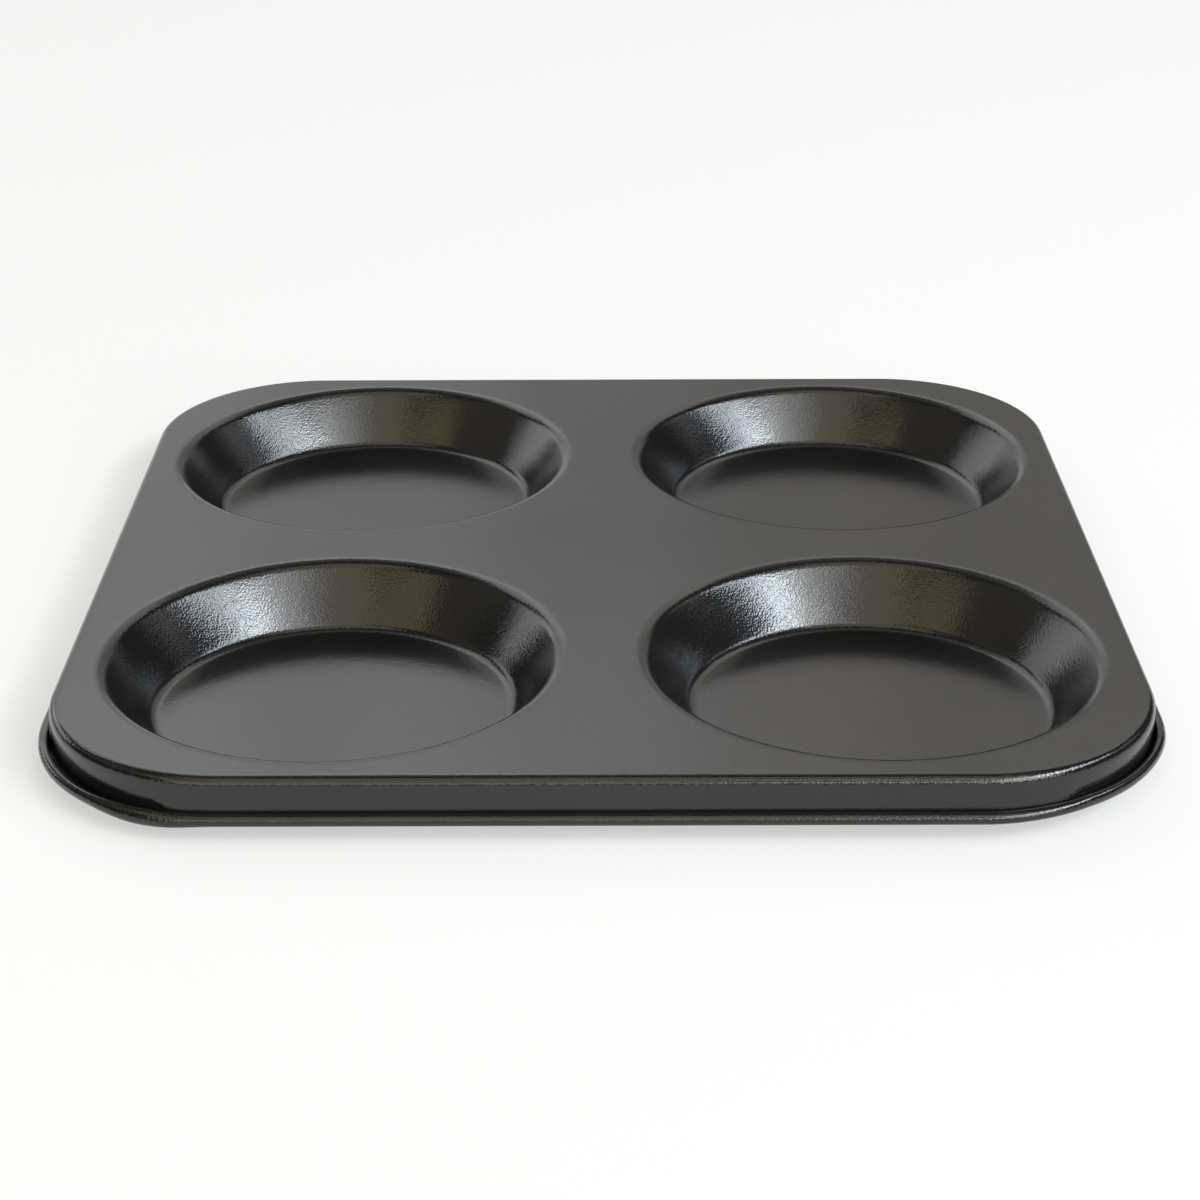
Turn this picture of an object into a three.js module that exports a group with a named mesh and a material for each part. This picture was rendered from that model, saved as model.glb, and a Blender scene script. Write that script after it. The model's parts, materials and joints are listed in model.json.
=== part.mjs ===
import * as THREE from 'three';
import { mergeVertices } from 'three/addons/utils/BufferGeometryUtils.js';

// A tray for four yorkshire puddings, pressed from one sheet of steel. Round cups are drawn down from a flat
// deck, and the deck's edge turns over a shoulder into a skirt, whose hem curls outward round a wire.
// Millimetres, +Z up, +Y to the back. The tray stands on its cups at z = 0, centred on the Z axis.

// Sheet and wire
const SHEET_THICKNESS = 0.4;
const WIRE_DIAMETER = 1.5;
const WIRE_CLEARANCE = 0.15;

// Cups: the mouth is measured where the deck starts to bend, and the depth from the deck to the floor
const CUP_MOUTH_DIAMETER = 103;
const CUP_DEPTH = 13.6;
const CUP_LIP_RADIUS = 3.0;
const CUP_WALL_ANGLE = 52;
const CUP_FLOOR_FILLET = 2.0;

// Deck: the flat lands left between the mouths, and from a mouth to the shoulder
const CUP_BRIDGE = 15.5;
const EDGE_LAND = 4.75;
const DECK_CORNER_RADIUS = 39;

// Skirt: its height runs from the deck to the underside of the hem, and its flare is from the vertical
const SHOULDER_RADIUS = 2.0;
const SKIRT_HEIGHT = 9.8;
const SKIRT_FLARE = 4.5;

// Hem: its edge stops just short of the skirt. At the tray's corners the foot of the skirt draws in and the hem
// stands off, which leaves a gutter between them
const HEM_EDGE_GAP = 0.4;
const CORNER_INSET = 0.6;
const CORNER_STANDOFF = 0.4;
const GUTTER_RAMP = 22.5;

// Facets
const CUP_SIDES = 48;
const CORNER_STEPS = 8;
const LIP_STEPS = 3;
const FILLET_STEPS = 2;
const SHOULDER_STEPS = 3;
const CURL_STEPS = 10;
const WIRE_SIDES = 8;

// Angles of a cross-section, in degrees: 0 points outward, and angles turn towards +Z
const UP = 90;
const DOWN = 270;
const HALF_TURN = 180;
const FULL_TURN = 360;
const CORNER_TURN = 90;

// Places that follow from the sizes
const mouthRadius = CUP_MOUTH_DIAMETER / 2;
const cupOffset = (CUP_MOUTH_DIAMETER + CUP_BRIDGE) / 2;
const deckHalf = cupOffset + mouthRadius + EDGE_LAND;
const deckHeight = Math.max(CUP_DEPTH + SHEET_THICKNESS, SKIRT_HEIGHT);
const wireRadius = WIRE_DIAMETER / 2;
const curlInside = wireRadius + WIRE_CLEARANCE;
const curlOutside = curlInside + SHEET_THICKNESS;
const curlHeight = deckHeight - SKIRT_HEIGHT + curlOutside;
const fourCorners = [[1, 1], [-1, 1], [-1, -1], [1, -1]];

function radians(degrees) {
  return THREE.MathUtils.degToRad(degrees);
}

function polar(centre, radius, degrees) {
  const angle = radians(degrees);
  return new THREE.Vector2(centre.x + radius * Math.cos(angle), centre.y + radius * Math.sin(angle));
}

// The centre of a second bend, joined to the first by a straight wall that touches both. The sheet's face turns
// one way round the first centre and the other way round the second, and looks along wallNormal between them.
function secondCentre(first, faceRadii, height, wallNormal) {
  const normal = polar(new THREE.Vector2(), 1, wallNormal);
  const outward = first.x + (faceRadii - (height - first.y) * normal.y) / normal.x;
  return new THREE.Vector2(outward, height);
}

// A bend of the sheet in cross-section: points on its upper face and its back, one thickness apart.
// At each point, drift says how far outward the sheet goes where a corner's gutter is fully open.
function bend(centre, faceRadius, backRadius, fromAngle, toAngle, steps, drift = () => 0) {
  return Array.from({ length: steps + 1 }, (_, step) => {
    const angle = THREE.MathUtils.lerp(fromAngle, toAngle, step / steps);
    return {
      face: polar(centre, faceRadius, angle),
      back: polar(centre, backRadius, angle),
      drift: drift(angle),
    };
  });
}

// From the deck over the lip, down the sloping wall and round the fillet to the floor
function cupSection() {
  const wallNormal = UP + CUP_WALL_ANGLE;
  const lip = new THREE.Vector2(mouthRadius, deckHeight - CUP_LIP_RADIUS);
  const filletHeight = deckHeight - CUP_DEPTH + CUP_FLOOR_FILLET;
  const fillet = secondCentre(lip, CUP_LIP_RADIUS + CUP_FLOOR_FILLET, filletHeight, wallNormal);
  return [
    ...bend(lip, CUP_LIP_RADIUS, CUP_LIP_RADIUS - SHEET_THICKNESS, UP, wallNormal, LIP_STEPS),
    ...bend(fillet, CUP_FLOOR_FILLET, CUP_FLOOR_FILLET + SHEET_THICKNESS,
      wallNormal + HALF_TURN, DOWN, FILLET_STEPS),
  ];
}

const shoulderCentre = new THREE.Vector2(DECK_CORNER_RADIUS, deckHeight - SHOULDER_RADIUS);
const curlCentre = secondCentre(shoulderCentre, SHOULDER_RADIUS + curlInside, curlHeight, SKIRT_FLARE);

// From the deck over the shoulder, down the skirt, and outward and up round the wire
function skirtSection() {
  const edgeReach = (HEM_EDGE_GAP - curlInside) / curlOutside;
  const edgeAngle = FULL_TURN + SKIRT_FLARE + THREE.MathUtils.radToDeg(Math.acos(edgeReach));
  const drift = (angle) => (angle > DOWN ? CORNER_STANDOFF : -CORNER_INSET);
  return [
    ...bend(shoulderCentre, SHOULDER_RADIUS, SHOULDER_RADIUS - SHEET_THICKNESS, UP, SKIRT_FLARE, SHOULDER_STEPS),
    ...bend(curlCentre, curlInside, curlOutside, SKIRT_FLARE + HALF_TURN, edgeAngle, CURL_STEPS, drift),
  ];
}

// A path round a cup: spokes from its axis, counterclockwise from above
function cupPath([signX, signY]) {
  const hub = new THREE.Vector2(signX * cupOffset, signY * cupOffset);
  return Array.from({ length: CUP_SIDES }, (_, side) => ({
    hub,
    spoke: polar(new THREE.Vector2(), 1, FULL_TURN * side / CUP_SIDES),
    opening: 0,
  }));
}

// A path round the tray's edge: spokes from the centre of each rounded corner, counterclockwise from above.
// The gutter opens and closes smoothly near the two ends of a corner.
function edgePath() {
  const hubOffset = deckHalf - DECK_CORNER_RADIUS;
  return fourCorners.flatMap(([signX, signY], corner) => {
    const hub = new THREE.Vector2(signX * hubOffset, signY * hubOffset);
    return Array.from({ length: CORNER_STEPS + 1 }, (_, step) => {
      const turned = CORNER_TURN * step / CORNER_STEPS;
      const fromEnd = Math.min(turned, CORNER_TURN - turned);
      return {
        hub,
        spoke: polar(new THREE.Vector2(), 1, CORNER_TURN * corner + turned),
        opening: THREE.MathUtils.smoothstep(fromEnd, 0, GUTTER_RAMP),
      };
    });
  });
}

// One closed ring of points: a point of a cross-section carried along a path
function ring(path, point, drift) {
  return path.map(({ hub, spoke, opening }) => {
    const reach = point.x + drift * opening;
    return new THREE.Vector3(hub.x + spoke.x * reach, hub.y + spoke.y * reach, point.y);
  });
}

// Triangles between two rings. They face up where the first ring is the inner one.
function strip(inner, outer) {
  return inner.flatMap((corner, index) => {
    const next = (index + 1) % inner.length;
    return [corner, outer[index], outer[next], corner, outer[next], inner[next]];
  });
}

function strips(rings) {
  return rings.slice(1).flatMap((outer, index) => strip(rings[index], outer));
}

// A flat face that looks up, bounded by a counterclockwise ring and pierced by others
function flat(outline, holes = []) {
  const clockwiseHoles = holes.map((hole) => [...hole].reverse());
  const points = [outline, ...clockwiseHoles].flat();
  return THREE.ShapeUtils.triangulateShape(outline, clockwiseHoles).flat().map((index) => points[index]);
}

function solid(triangles) {
  return mergeVertices(new THREE.BufferGeometry().setFromPoints(triangles));
}

// One skin of the sheet, face or back, looking up: deck, cups and skirt share the rings where they meet
function sheetSkin(skin) {
  const cups = fourCorners.map((corner) => {
    const path = cupPath(corner);
    return cupSection().map((point) => ring(path, point[skin], point.drift)).reverse();
  });
  const path = edgePath();
  const skirt = skirtSection().map((point) => ring(path, point[skin], point.drift));
  const mouths = cups.map((rings) => rings.at(-1));
  const triangles = [
    ...flat(skirt[0], mouths),
    ...cups.flatMap((rings) => flat(rings[0])),
    ...cups.flatMap(strips),
    ...strips(skirt),
  ];
  return { triangles, edge: skirt.at(-1) };
}

// The sheet is its face, its back turned over, and the cut edge between them. Reversing a list of triangles
// turns each of them over.
function pressedTray() {
  const face = sheetSkin('face');
  const back = sheetSkin('back');
  const coating = new THREE.MeshStandardMaterial({ color: 0x2e2e30, roughness: 0.38, metalness: 0.3 });
  const sheet = solid([...face.triangles, ...back.triangles.reverse(), ...strip(face.edge, back.edge)]);
  const mesh = new THREE.Mesh(sheet, coating);
  mesh.name = 'pressed_tray';
  return mesh;
}

// A wire loop that follows the middle of the curl all the way round
function rimWire() {
  const path = edgePath();
  const rings = Array.from({ length: WIRE_SIDES + 1 }, (_, side) => {
    const angle = FULL_TURN * (side % WIRE_SIDES) / WIRE_SIDES;
    return ring(path, polar(curlCentre, wireRadius, -angle), CORNER_STANDOFF);
  });
  const steel = new THREE.MeshStandardMaterial({ color: 0x8d9094, roughness: 0.45, metalness: 0.9 });
  const mesh = new THREE.Mesh(solid(strips(rings)), steel);
  mesh.name = 'rim_wire';
  return mesh;
}

const tray = new THREE.Group();
tray.add(pressedTray(), rimWire());

export default tray;
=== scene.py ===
"""Looks of a pressed steel tray for yorkshire puddings: the coated sheet, its rim wire, light and camera.

Everything is in metres in the frame of the solids: +Z up, +Y to the back, and the tray stands on z = 0.
"""
import json
import math
from collections import namedtuple

import bpy
from mathutils import Matrix, Vector, geometry


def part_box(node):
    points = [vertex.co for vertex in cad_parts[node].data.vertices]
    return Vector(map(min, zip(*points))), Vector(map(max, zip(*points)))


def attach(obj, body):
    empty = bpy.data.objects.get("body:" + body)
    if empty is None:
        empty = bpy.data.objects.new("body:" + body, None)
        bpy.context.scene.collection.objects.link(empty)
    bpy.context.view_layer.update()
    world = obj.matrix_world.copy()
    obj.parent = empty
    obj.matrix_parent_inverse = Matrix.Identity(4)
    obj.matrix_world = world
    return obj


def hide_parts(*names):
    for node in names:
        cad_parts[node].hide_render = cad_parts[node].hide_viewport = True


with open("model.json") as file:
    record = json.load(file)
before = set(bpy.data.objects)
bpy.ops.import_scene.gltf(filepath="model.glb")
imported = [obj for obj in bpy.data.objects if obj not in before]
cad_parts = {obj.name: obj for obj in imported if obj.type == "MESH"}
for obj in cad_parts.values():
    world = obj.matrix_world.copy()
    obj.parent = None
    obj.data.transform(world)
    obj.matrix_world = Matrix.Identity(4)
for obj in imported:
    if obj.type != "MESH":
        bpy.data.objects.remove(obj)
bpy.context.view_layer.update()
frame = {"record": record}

MM = 0.001

# Angles of a cross-section: 0 points outward, and angles turn towards +Z
UP = math.radians(90)
DOWN = math.radians(270)
HALF_TURN = math.pi
FULL_TURN = 2 * math.pi

# Corners of a square, counterclockwise from the back right one
FOUR_CORNERS = ((1, 1), (-1, 1), (-1, -1), (1, -1))
CORNER_TURN = math.radians(90)

# Sizes that are the same as in the solids
SHEET = 0.4 * MM
WIRE_RADIUS = 0.75 * MM
WIRE_CLEARANCE = 0.15 * MM
CUP_DEPTH = 13.6 * MM
DECK_CORNER_RADIUS = 39 * MM
SHOULDER_RADIUS = 2.0 * MM
SKIRT_HEIGHT = 9.8 * MM
SKIRT_FLARE = math.radians(4.5)
HEM_EDGE_GAP = 0.4 * MM

# The cups have the depth of the solids, with rounder bends and steeper walls that bow towards the cup's axis
MOUTH_RADIUS = 51.8 * MM
EDGE_LAND = 4.45 * MM
LIP_RADIUS = 4.0 * MM
CUP_WALL_ANGLE = math.radians(54.5)
WALL_BOW = math.radians(1.5)
FLOOR_FILLET = 3.0 * MM

# At a corner the foot of the skirt draws in, the hem's edge rises, and a gutter opens between them
CORNER_INSET = 0.8 * MM
EDGE_RISE = 0.25 * MM
GUTTER_RAMP = math.radians(8)

# The skirt's foot goes over into the hem's bead between two angles, one past the start of the curl and one
# past its bottom
FOOT_END = math.radians(45)
BEAD_FULL = math.radians(15)

# Towards the middle of a corner the hem stands out and rises, and it sags beside the front or back edge. The
# gutter starts to open at an angle from that edge and at one from the side. The front corners differ.
Corner = namedtuple("Corner", "stand rise sag edge_shut side_shut")
PLAIN_CORNER = Corner(0.2 * MM, 0.0 * MM, 0.0 * MM, math.radians(14), math.radians(8))
FRONT_LEFT_CORNER = Corner(0.5 * MM, -0.3 * MM, 0.9 * MM, math.radians(14), math.radians(9))
FRONT_RIGHT_CORNER = Corner(-0.3 * MM, 0.4 * MM, 0.0 * MM, math.radians(24), math.radians(5))
CORNERS = (PLAIN_CORNER, PLAIN_CORNER, FRONT_LEFT_CORNER, FRONT_RIGHT_CORNER)
HEM_SWEEP = math.radians(35)
SAG_PLACE = math.radians(21.5)
SAG_WIDTH = math.radians(20)

# Extra rings that keep the flat faces flat right up to a bend, and the grid of points on the deck
DECK_MARGIN = 1.0 * MM
FLOOR_MARGIN = 0.8 * MM
DECK_GRID = 6 * MM
GRID_CLEARANCE = 2.5 * MM

# Fineness of the mesh
CUP_SIDES = 192
CORNER_STEPS = 48
SIDE_STEPS = 24
LIP_STEPS = 12
WALL_STEPS = 8
FILLET_STEPS = 8
FLOOR_RINGS = 6
SHOULDER_STEPS = 12
CURL_STEPS = 28
WIRE_SIDES = 16

# Edges sharper than an angle stay sharp, and points closer than a distance are one. The deck is cut from
# triangles that fill the convex hull, which is output 0 of the triangulation.
SHARP_ANGLE = math.radians(50)
WELD_DISTANCE = 0.001 * MM
HULL_TRIANGLES = 0

# Noises of the finishes: their scale in cycles per metre and their detail
Noise = namedtuple("Noise", "scale detail")
GRAIN = Noise(2300, 0.0)
PEEL = Noise(420, 1.0)
CLOUD = Noise(28, 3.0)
DRAWING_MARKS = Noise(900, 2.0)

# Coating: the part of the cloud's range that is used, and the colours and roughnesses between which it lies
CLOUD_RANGE = (0.3, 0.7)
CHARCOAL = (0.0052, 0.0052, 0.0054, 1)
WARM_CHARCOAL = (0.0076, 0.0074, 0.0071, 1)
ROUGHNESS_FLAT = (0.12, 0.15)
ROUGHNESS_WALL = (0.14, 0.17)
COATING_IOR = 1.56

# Depth of the coating's grain, which opens up where the sheet was drawn or bent, and of its orange peel
GRAIN_FLAT = 0.020 * MM
GRAIN_WALL = 0.042 * MM
GRAIN_BEND = 0.06 * MM
PEEL_DEPTH = 0.02 * MM

# Upward parts of a face's normal between which flats go over to walls, walls to bends and bends to the skirt
FLAT_TO_WALL = (0.98, 0.8)
WALL_TO_BEND = (0.5, 0.4)
BEND_TO_SKIRT = (0.3, 0.15)

# Bare wire: the part of its marks' range that is used, and the colours and roughnesses between which it lies
MARKS_RANGE = (0.2, 0.8)
DARK_STEEL = (0.30, 0.30, 0.31, 1)
LIGHT_STEEL = (0.48, 0.48, 0.49, 1)
WIRE_ROUGHNESS = (0.3, 0.45)

# Floor: a wide pale sheet just under the tray, and the share of its look that is its own even light
FLOOR_HALF = 8.0
FLOOR_GAP = 0.05 * MM
FLOOR_COLOUR = (0.78, 0.78, 0.78, 1)
FLOOR_ROUGHNESS = 0.9
FLOOR_FILL = 0.5

# Camera: its heading is from +Y towards the right, and its pitch is downward
CAMERA_PLACE = Vector((0.0001, -0.5753, 0.2633))
CAMERA_HEADING = math.radians(-0.056)
CAMERA_PITCH = math.radians(24.66)
CAMERA_ROLL = math.radians(-0.2)
SENSOR_WIDTH = 36
FOCAL_LENGTH = 78.37
CLIP_START = 0.01

# Light: a cool key from the right of the camera, warm fill in front, and a pale wall of light behind, which
# is brighter towards the left
WHITE = (1, 1, 1, 1)
SURROUND_LEVEL = 0.04
LAMP_DISTANCE = 4.0
COOL = (0.89, 1.0, 1.1)
NEUTRAL = (0.98, 1.0, 1.0)
WARM = (1.09, 1.0, 0.74)
AMBER = (1.25, 1.0, 0.52)
PALE = (0.99, 1.0, 1.01)
CREAM = (1.03, 1.0, 0.93)

# Lamps: the azimuths, from the front towards the right, and the elevations that each spans, in degrees
Lamp = namedtuple("Lamp", "name azimuths elevations level tint")
LAMPS = (
    Lamp("key", (47, 65), (33.5, 42.5), 21, COOL),
    Lamp("key_foot", (20, 47), (31, 38), 11, NEUTRAL),
    Lamp("key_low", (11, 50), (8, 31), 5, NEUTRAL),
    Lamp("key_right", (65, 80), (35.5, 43.5), 12, COOL),
    Lamp("key_far_right", (80, 102), (35, 43), 8.8, COOL),
    Lamp("key_head", (52, 84), (43, 52), 3.7, NEUTRAL),
    Lamp("key_left", (43, 52), (38, 52), 6.7, NEUTRAL),
    Lamp("key_left_fade", (33, 43), (38, 54), 5.0, NEUTRAL),
    Lamp("key_far_left", (22, 33), (38, 57), 3.2, NEUTRAL),
    Lamp("key_far_left_fade", (11, 22), (38, 58), 2.1, NEUTRAL),
    Lamp("right_fill", (102, 124), (24, 34), 0.75, NEUTRAL),
    Lamp("front_fill", (-22, 11), (31, 60), 1.17, WARM),
    Lamp("front_low_fill", (-40, 11), (8, 31), 1.8, CREAM),
    Lamp("front_left_fill", (-61, -22), (31, 49), 0.95, AMBER),
    Lamp("front_top_fill", (-60, 60), (60, 88), 0.9, WARM),
    Lamp("left_fill", (-112, -61), (24, 54), 0.2, WARM),
    Lamp("wall_left_side", (-146, -112), (9, 27), 1.65, PALE),
    Lamp("wall_left_low", (-180, -146), (0, 15), 0.8, PALE),
    Lamp("wall_left_top", (-180, -126), (37, 50), 1.6, PALE),
    Lamp("wall_right_low", (146, 180), (6, 15), 0.43, CREAM),
    Lamp("wall_right_top", (136, 180), (37, 50), 1.2, CREAM),
    Lamp("wall_ledge", (130, 230), (50, 74), 0.3, PALE),
)

# The wall's elevations from low to high, and its columns from left to right with a level for each elevation
WALL_ROWS = ((15, 21.5), (21.5, 26.5), (26.5, 37))
WALL_COLUMNS = (
    ((-171, -146), (0.86, 0.98, 1.6), PALE),
    ((-177, -171), (0.7, 0.88, 1.46), PALE),
    ((-183, -177), (0.56, 0.69, 1.26), PALE),
    ((-189, -183), (0.46, 0.55, 0.97), CREAM),
    ((-214, -189), (0.43, 0.52, 0.79), CREAM),
)

# Places that follow
deck_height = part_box("pressed_tray")[1].z
cup_centres = [Vector(mount["pos_m"][:2]) for mount in frame["record"]["mounts"]]
cup_offset = max(centre.x for centre in cup_centres)
deck_half = cup_offset + MOUTH_RADIUS + EDGE_LAND
straight_half = deck_half - DECK_CORNER_RADIUS
curl_inside = WIRE_RADIUS + WIRE_CLEARANCE
curl_outside = curl_inside + SHEET
curl_height = deck_height - SKIRT_HEIGHT + curl_outside

# A station of a cross-section: a point on the sheet's face and one on its back, each (reach, height). The
# rest are its shares in what a corner does to the skirt's foot, the hem's bead, its belly and its edge.
Station = namedtuple("Station", "face back foot bead belly edge", defaults=(0, 0, 0, 0))

# A spoke of a path round a cup or the tray's edge. opening is 0 where the gutter is shut and 1 where it is
# open, and the rest are how far the hem stands out, rises and sags there.
Spoke = namedtuple("Spoke", "hub direction opening stand rise sag", defaults=(0, 0, 0, 0))


def smoothstep(value, low, high):
    share = min(max((value - low) / (high - low), 0), 1)
    return share * share * (3 - 2 * share)


def steps(start, stop, count):
    return [start + (stop - start) * step / count for step in range(count + 1)]


def polar(centre, radius, angle):
    return Vector((centre[0] + radius * math.cos(angle), centre[1] + radius * math.sin(angle)))


def second_centre(first, face_radii, height, wall_normal):
    """The centre of a second bend, which a straight wall joins to the first, touching both."""
    normal = polar((0, 0), 1, wall_normal)
    return Vector((first[0] + (face_radii - (height - first[1]) * normal.y) / normal.x, height))


def shifted(station, step):
    return station._replace(face=station.face + Vector(step), back=station.back + Vector(step))


def bend(centre, face_radius, back_radius, angles):
    return [Station(polar(centre, face_radius, angle), polar(centre, back_radius, angle)) for angle in angles]


def straight(first, last, count):
    """Stations along the straight wall between two others."""
    return [
        Station(*(a + (b - a) * share for a, b in zip(first, last)))
        for share in steps(0, 1, count)[1:-1]
    ]


def bowed(first, last, wall_normal):
    """Stations down a cup's wall, a shallow arc that turns by WALL_BOW either way from its chord."""
    wall = straight(first, last, WALL_STEPS)
    rise = (last.face - first.face).length * math.tan(WALL_BOW)
    shares = steps(0, 1, WALL_STEPS)[1:-1]
    return [
        shifted(station, polar((0, 0), rise * share * (1 - share), wall_normal))
        for station, share in zip(wall, shares)
    ]


def cup_stations():
    """From the deck over the lip, down the wall, round the fillet and across the floor towards its middle."""
    wall_normal = UP + CUP_WALL_ANGLE
    lip_centre = Vector((MOUTH_RADIUS, deck_height - LIP_RADIUS))
    lip_turn = steps(UP, wall_normal - WALL_BOW, LIP_STEPS)
    lip = bend(lip_centre, LIP_RADIUS, LIP_RADIUS - SHEET, lip_turn)
    fillet_height = deck_height - CUP_DEPTH + FLOOR_FILLET
    fillet_turn = steps(wall_normal + WALL_BOW + HALF_TURN, DOWN, FILLET_STEPS)
    fillet_start = polar((0, fillet_height), FLOOR_FILLET, fillet_turn[0])
    run = (lip[-1].face.y - fillet_start.y) / math.tan(CUP_WALL_ANGLE)
    fillet_centre = (lip[-1].face.x - run - fillet_start.x, fillet_height)
    fillet = bend(fillet_centre, FLOOR_FILLET, FLOOR_FILLET + SHEET, fillet_turn)
    margin = shifted(lip[0], (DECK_MARGIN, 0))
    flat_edge = shifted(fillet[-1], (-FLOOR_MARGIN, 0))
    floor = [
        shifted(flat_edge, (-flat_edge.face.x * share, 0))
        for share in steps(0, 1, FLOOR_RINGS + 1)[:-1]
    ]
    return [margin, *lip, *bowed(lip[-1], fillet[0], wall_normal), *fillet, *floor]


shoulder_centre = Vector((DECK_CORNER_RADIUS, deck_height - SHOULDER_RADIUS))
curl_centre = second_centre(shoulder_centre, SHOULDER_RADIUS + curl_inside, curl_height, SKIRT_FLARE)


def curl_stations():
    """Outward and up round the wire, from the foot of the skirt to the hem's edge."""
    start = SKIRT_FLARE + HALF_TURN
    edge_angle = FULL_TURN + SKIRT_FLARE + math.acos((HEM_EDGE_GAP - curl_inside) / curl_outside)
    turn = steps(start, edge_angle, CURL_STEPS)
    stations = []
    for station, angle in zip(bend(curl_centre, curl_inside, curl_outside, turn), turn):
        bead = smoothstep(angle, start + FOOT_END, DOWN + BEAD_FULL)
        belly = smoothstep(angle, start + FOOT_END, DOWN) * (1 - smoothstep(angle, FULL_TURN, edge_angle))
        edge = smoothstep(angle, DOWN, FULL_TURN)
        stations.append(station._replace(foot=1 - bead, bead=bead, belly=belly, edge=edge))
    return stations


def skirt_stations():
    """From the deck over the shoulder, down the skirt and round the curl."""
    shoulder_turn = steps(UP, SKIRT_FLARE, SHOULDER_STEPS)
    shoulder = bend(shoulder_centre, SHOULDER_RADIUS, SHOULDER_RADIUS - SHEET, shoulder_turn)
    curl = curl_stations()
    margin = shifted(shoulder[0], (-DECK_MARGIN, 0))
    return [margin, *shoulder, *straight(shoulder[-1], curl[0], WALL_STEPS), *curl]


def cup_path(centre):
    return [Spoke(centre, polar((0, 0), 1, FULL_TURN * side / CUP_SIDES)) for side in range(CUP_SIDES)]


def corner_spoke(hub, corner, turned):
    """A spoke of a rounded corner, counted from the back right one, turned from the start of that corner."""
    shape = CORNERS[corner]
    from_side = CORNER_TURN - turned if corner % 2 else turned
    from_edge = CORNER_TURN - from_side
    side_open = smoothstep(from_side, shape.side_shut, shape.side_shut + GUTTER_RAMP)
    edge_open = smoothstep(from_edge, shape.edge_shut, shape.edge_shut + GUTTER_RAMP)
    sweep = smoothstep(min(from_side, from_edge), 0, HEM_SWEEP)
    sagging = max(1 - ((from_edge - SAG_PLACE) / SAG_WIDTH) ** 2, 0) ** 2
    direction = polar((0, 0), 1, CORNER_TURN * corner + turned)
    opening = side_open * edge_open
    return Spoke(hub, direction, opening, shape.stand * sweep, shape.rise * sweep, shape.sag * sagging)


def edge_path():
    """Spokes round the tray's edge, counterclockwise from above, from the start of the back right corner."""
    hubs = [Vector((x * straight_half, y * straight_half)) for x, y in FOUR_CORNERS]
    spokes = []
    for corner, hub in enumerate(hubs):
        turns = steps(0, CORNER_TURN, CORNER_STEPS)
        spokes += [corner_spoke(hub, corner, turned) for turned in turns]
        following = hubs[(corner + 1) % len(hubs)]
        spokes += [
            spokes[-1]._replace(hub=hub.lerp(following, share))
            for share in steps(0, 1, SIDE_STEPS)[1:-1]
        ]
    return spokes


def carried(path, station, skin):
    """A ring of points: one skin's point of a station carried along a path."""
    point = getattr(station, skin)
    ring = []
    for spoke in path:
        reach = point.x + station.bead * spoke.stand - station.foot * CORNER_INSET * spoke.opening
        rise = station.bead * spoke.rise - station.belly * spoke.sag
        rise += station.edge * EDGE_RISE * spoke.opening
        place = spoke.hub + spoke.direction * reach
        ring.append(Vector((place.x, place.y, point.y + rise)))
    return ring


def on_deck(point, margin):
    """Whether a point lies on the flat land, at least margin from the mouths and the shoulder."""
    beyond = Vector((max(abs(point.x) - straight_half, 0), max(abs(point.y) - straight_half, 0)))
    clear_of_edge = beyond.length < DECK_CORNER_RADIUS - margin
    return clear_of_edge and all((point - centre).length > MOUTH_RADIUS + margin for centre in cup_centres)


def grid_points():
    """Points inside the deck, on a grid of alternating rows."""
    rows = math.ceil(deck_half / DECK_GRID)
    points = []
    for row in range(-rows, rows + 1):
        shift = DECK_GRID / 2 if row % 2 else 0
        for column in range(-rows, rows + 1):
            point = Vector((column * DECK_GRID + shift, row * DECK_GRID))
            if on_deck(point, DECK_MARGIN + GRID_CLEARANCE):
                points.append(point)
    return points


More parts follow.
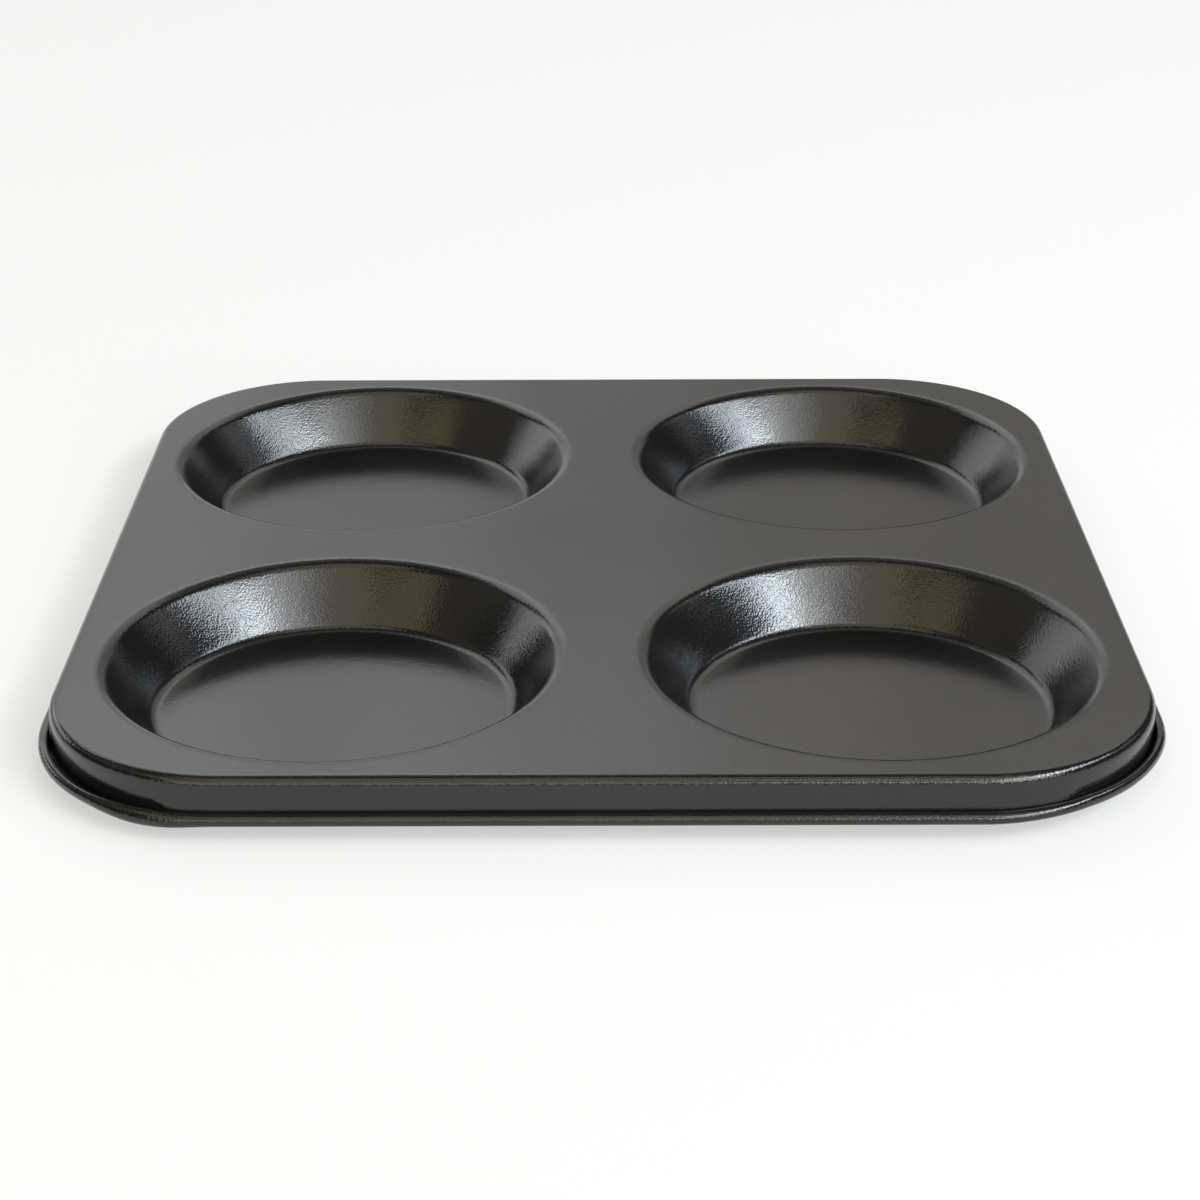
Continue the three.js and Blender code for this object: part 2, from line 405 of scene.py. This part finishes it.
class Surface:
    """Points and faces of a mesh, built ring by ring."""

    def __init__(self):
        self.points = []
        self.faces = []

    def ring(self, points):
        first = len(self.points)
        self.points.extend(points)
        return list(range(first, len(self.points)))

    def strip(self, inner, outer, up=True):
        """Quads between two closed rings, which look up where the first ring is the inner one."""
        for index, corner in enumerate(inner):
            after = (index + 1) % len(inner)
            face = (corner, outer[index], outer[after], inner[after])
            self.faces.append(face if up else face[::-1])

    def strips(self, rings, up=True):
        for inner, outer in zip(rings, rings[1:]):
            self.strip(inner, outer, up)

    def fan(self, ring, up=True):
        centre = len(self.points)
        self.points.append(sum((self.points[index] for index in ring), Vector()) / len(ring))
        for index, corner in enumerate(ring):
            face = (centre, corner, ring[(index + 1) % len(ring)])
            self.faces.append(face if up else face[::-1])

    def deck(self, outline, mouths, up=True):
        """The flat land between the tray's outline and the mouths, in small even triangles."""
        rings = [outline, *mouths]
        edges = []
        for ring in rings:
            edges += [(corner, ring[(index + 1) % len(ring)]) for index, corner in enumerate(ring)]
        height = self.points[outline[0]].z
        inner = self.ring([Vector((x, y, height)) for x, y in grid_points()])
        members = [index for ring in rings for index in ring] + inner
        place = {member: index for index, member in enumerate(members)}
        flat = [self.points[member].xy for member in members]
        constraints = [(place[a], place[b]) for a, b in edges]
        result = geometry.delaunay_2d_cdt(flat, constraints, [], HULL_TRIANGLES, WELD_DISTANCE)
        _, _, triangles, origins, _, _ = result
        for triangle in triangles:
            corners = [members[origins[index][0]] for index in triangle]
            middle = sum((self.points[corner].xy for corner in corners), Vector((0, 0))) / len(corners)
            if on_deck(middle, DECK_MARGIN):
                self.faces.append(tuple(corners) if up else tuple(corners[::-1]))

    def object(self, name):
        mesh = bpy.data.meshes.new(name)
        mesh.from_pydata(self.points, [], self.faces)
        mesh.validate()
        mesh.shade_smooth()
        mesh.set_sharp_from_angle(angle=SHARP_ANGLE)
        piece = bpy.data.objects.new(name, mesh)
        bpy.context.scene.collection.objects.link(piece)
        return piece


def tray_sheet():
    """The whole sheet: its face, its back and the cut edge of the hem, as one closed mesh."""
    surface = Surface()
    hem_edges = []
    for skin, up in (("face", True), ("back", False)):
        cups = []
        for centre in cup_centres:
            path = cup_path(centre)
            rings = [surface.ring(carried(path, station, skin)) for station in cup_stations()]
            cups.append(rings[::-1])
            surface.strips(cups[-1], up)
            surface.fan(cups[-1][0], up)
        path = edge_path()
        skirt = [surface.ring(carried(path, station, skin)) for station in skirt_stations()]
        surface.strips(skirt, up)
        surface.deck(skirt[0], [rings[-1] for rings in cups], up)
        hem_edges.append(skirt[-1])
    surface.strip(*hem_edges)
    return surface.object("tray_sheet")


def rim_wire():
    """The wire loop that the hem is curled round."""
    surface = Surface()
    path = edge_path()
    rings = []
    for angle in steps(0, FULL_TURN, WIRE_SIDES)[:-1]:
        point = polar(curl_centre, WIRE_RADIUS, -angle)
        rings.append(surface.ring(carried(path, Station(point, point, bead=1), "face")))
    surface.strips([*rings, rings[0]])
    return surface.object("rim_wire_loop")


class Nodes:
    """A material's node tree, with short calls to add and link nodes."""

    def __init__(self, material):
        material.use_nodes = True
        self.tree = material.node_tree
        self.shader = self.tree.nodes["Principled BSDF"]

    def add(self, kind, inputs=None, **settings):
        """A new node. Its inputs, by name or number, are linked to a socket or set to a value."""
        node = self.tree.nodes.new(kind)
        for name, value in settings.items():
            setattr(node, name, value)
        for name, value in (inputs or {}).items():
            if isinstance(value, bpy.types.NodeSocket):
                self.tree.links.new(value, node.inputs[name])
            else:
                node.inputs[name].default_value = value
        return node

    def noise(self, noise, coordinates):
        inputs = {"Vector": coordinates, "Scale": noise.scale, "Detail": noise.detail}
        return self.add("ShaderNodeTexNoise", inputs).outputs["Fac"]

    def ramp(self, factor, low, high, low_value, high_value):
        """A factor from low to high becomes a value from low_value to high_value."""
        inputs = {
            "Value": factor,
            "From Min": low,
            "From Max": high,
            "To Min": low_value,
            "To Max": high_value,
        }
        return self.add("ShaderNodeMapRange", inputs).outputs["Result"]

    def mix(self, factor, first, second):
        inputs = {"Factor": factor, "A": first, "B": second}
        return self.add("ShaderNodeMix", inputs, data_type="RGBA").outputs["Result"]

    def bump(self, height, depth, **inputs):
        inputs = {"Height": height, "Strength": 1.0, "Distance": depth, **inputs}
        return self.add("ShaderNodeBump", inputs).outputs["Normal"]

    def to_shader(self, **sockets):
        for name, value in sockets.items():
            self.tree.links.new(value, self.shader.inputs[name.replace("_", " ")])


def coating():
    """Charcoal non-stick coating: semi-gloss, with the fine grain of a sprayed and baked film."""
    material = bpy.data.materials.new("nonstick_coating")
    nodes = Nodes(material)
    coordinates = nodes.add("ShaderNodeTexCoord").outputs["Object"]
    cloud = nodes.noise(CLOUD, coordinates)
    normal = nodes.add("ShaderNodeNewGeometry").outputs["True Normal"]
    upward = nodes.add("ShaderNodeSeparateXYZ", {"Vector": normal}).outputs["Z"]
    depth = nodes.ramp(upward, *FLAT_TO_WALL, GRAIN_FLAT, GRAIN_WALL)
    depth = nodes.ramp(upward, *WALL_TO_BEND, depth, GRAIN_BEND)
    depth = nodes.ramp(upward, *BEND_TO_SKIRT, depth, GRAIN_FLAT)
    fine = nodes.bump(nodes.noise(GRAIN, coordinates), depth)
    smoother, rougher = (
        nodes.ramp(upward, *FLAT_TO_WALL, flat, wall) for flat, wall in zip(ROUGHNESS_FLAT, ROUGHNESS_WALL)
    )
    nodes.to_shader(
        Base_Color=nodes.mix(nodes.ramp(cloud, *CLOUD_RANGE, 0, 1), CHARCOAL, WARM_CHARCOAL),
        Roughness=nodes.ramp(cloud, *CLOUD_RANGE, smoother, rougher),
        Normal=nodes.bump(nodes.noise(PEEL, coordinates), PEEL_DEPTH, Normal=fine),
    )
    nodes.shader.inputs["IOR"].default_value = COATING_IOR
    return material


def drawn_wire():
    """Bare steel wire with faint drawing marks."""
    material = bpy.data.materials.new("drawn_wire")
    nodes = Nodes(material)
    coordinates = nodes.add("ShaderNodeTexCoord").outputs["Object"]
    marks = nodes.noise(DRAWING_MARKS, coordinates)
    nodes.to_shader(
        Base_Color=nodes.mix(marks, DARK_STEEL, LIGHT_STEEL),
        Roughness=nodes.ramp(marks, *MARKS_RANGE, *WIRE_ROUGHNESS),
    )
    nodes.shader.inputs["Metallic"].default_value = 1.0
    return material


def dress(piece, node, material):
    piece.data.materials.append(material)
    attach(piece, "root")
    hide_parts(node)


def pale_floor():
    """A pale floor with the tray's shadow, half filled in by a white light of its own where it is seen."""
    material = bpy.data.materials.new("pale_floor")
    nodes = Nodes(material)
    nodes.shader.inputs["Base Color"].default_value = FLOOR_COLOUR
    nodes.shader.inputs["Roughness"].default_value = FLOOR_ROUGHNESS
    rays = nodes.add("ShaderNodeLightPath").outputs
    seen = rays["Is Camera Ray"]
    for ray in ("Is Glossy Ray", "Is Transmission Ray"):
        either = nodes.add("ShaderNodeMath", {0: seen, 1: rays[ray]}, operation="ADD", use_clamp=True)
        seen = either.outputs["Value"]
    glow = nodes.add("ShaderNodeEmission", {"Strength": seen}).outputs["Emission"]
    shaders = {"Fac": FLOOR_FILL, 1: nodes.shader.outputs["BSDF"], 2: glow}
    blend = nodes.add("ShaderNodeMixShader", shaders).outputs["Shader"]
    nodes.tree.links.new(blend, nodes.tree.nodes["Material Output"].inputs["Surface"])
    return material


def studio_floor():
    mesh = bpy.data.meshes.new("floor")
    corners = [(x * FLOOR_HALF, y * FLOOR_HALF, -FLOOR_GAP) for x, y in FOUR_CORNERS]
    mesh.from_pydata(corners, [], [list(range(len(corners)))])
    floor = bpy.data.objects.new("floor", mesh)
    bpy.context.scene.collection.objects.link(floor)
    mesh.materials.append(pale_floor())


def studio_world():
    """Dim even surroundings, which leave the modelling of the shape to the lamps."""
    world = bpy.data.worlds.new("studio")
    bpy.context.scene.world = world
    world.use_nodes = True
    background = world.node_tree.nodes["Background"]
    background.inputs["Color"].default_value = WHITE
    background.inputs["Strength"].default_value = SURROUND_LEVEL


def bearing(azimuth, elevation):
    """A unit direction: the azimuth is measured from the front towards the right, both in degrees."""
    around = math.radians(azimuth)
    above = math.radians(elevation)
    level = math.cos(above)
    return Vector((math.sin(around) * level, -math.cos(around) * level, math.sin(above)))


def softbox(name, azimuths, elevations, level, tint):
    """An area lamp that looks at the tray and spans these angles, in degrees. level is its radiance."""
    azimuth = sum(azimuths) / 2
    elevation = sum(elevations) / 2
    direction = bearing(azimuth, elevation)
    half_width = math.tan(math.radians(azimuths[1] - azimuth)) * math.cos(math.radians(elevation))
    half_height = math.tan(math.radians(elevations[1] - elevation))
    lamp = bpy.data.lights.new(name, "AREA")
    lamp.shape = "RECTANGLE"
    lamp.size = 2 * LAMP_DISTANCE * half_width
    lamp.size_y = 2 * LAMP_DISTANCE * half_height
    lamp.energy = level * math.pi * lamp.size * lamp.size_y
    lamp.color = tint
    placed = bpy.data.objects.new(name, lamp)
    placed.location = direction * LAMP_DISTANCE
    placed.rotation_euler = direction.to_track_quat("Z", "Y").to_euler()
    bpy.context.scene.collection.objects.link(placed)


def photo_camera():
    """A camera at the photograph's viewing angle, for a square picture."""
    level = Vector((math.sin(CAMERA_HEADING), math.cos(CAMERA_HEADING), 0))
    level_right = Vector((math.cos(CAMERA_HEADING), -math.sin(CAMERA_HEADING), 0))
    forward = level * math.cos(CAMERA_PITCH) + Vector((0, 0, -math.sin(CAMERA_PITCH)))
    level_up = level_right.cross(forward)
    right = level_right * math.cos(CAMERA_ROLL) + level_up * math.sin(CAMERA_ROLL)
    up = right.cross(forward)
    data = bpy.data.cameras.new("camera")
    data.sensor_width = SENSOR_WIDTH
    data.lens = FOCAL_LENGTH
    data.clip_start = CLIP_START
    camera = bpy.data.objects.new("camera", data)
    axes = Matrix((right, up, -forward)).transposed().to_4x4()
    camera.matrix_world = Matrix.Translation(CAMERA_PLACE) @ axes
    bpy.context.scene.collection.objects.link(camera)
    bpy.context.scene.camera = camera


dress(tray_sheet(), "pressed_tray", coating())
dress(rim_wire(), "rim_wire", drawn_wire())
studio_floor()
studio_world()
for lamp in LAMPS:
    softbox(*lamp)
for column, (azimuths, levels, tint) in enumerate(WALL_COLUMNS):
    for row, (elevations, level) in enumerate(zip(WALL_ROWS, levels)):
        softbox(f"wall_{column}_{row}", azimuths, elevations, level, tint)
photo_camera()
bpy.context.scene.view_settings.view_transform = "Standard"
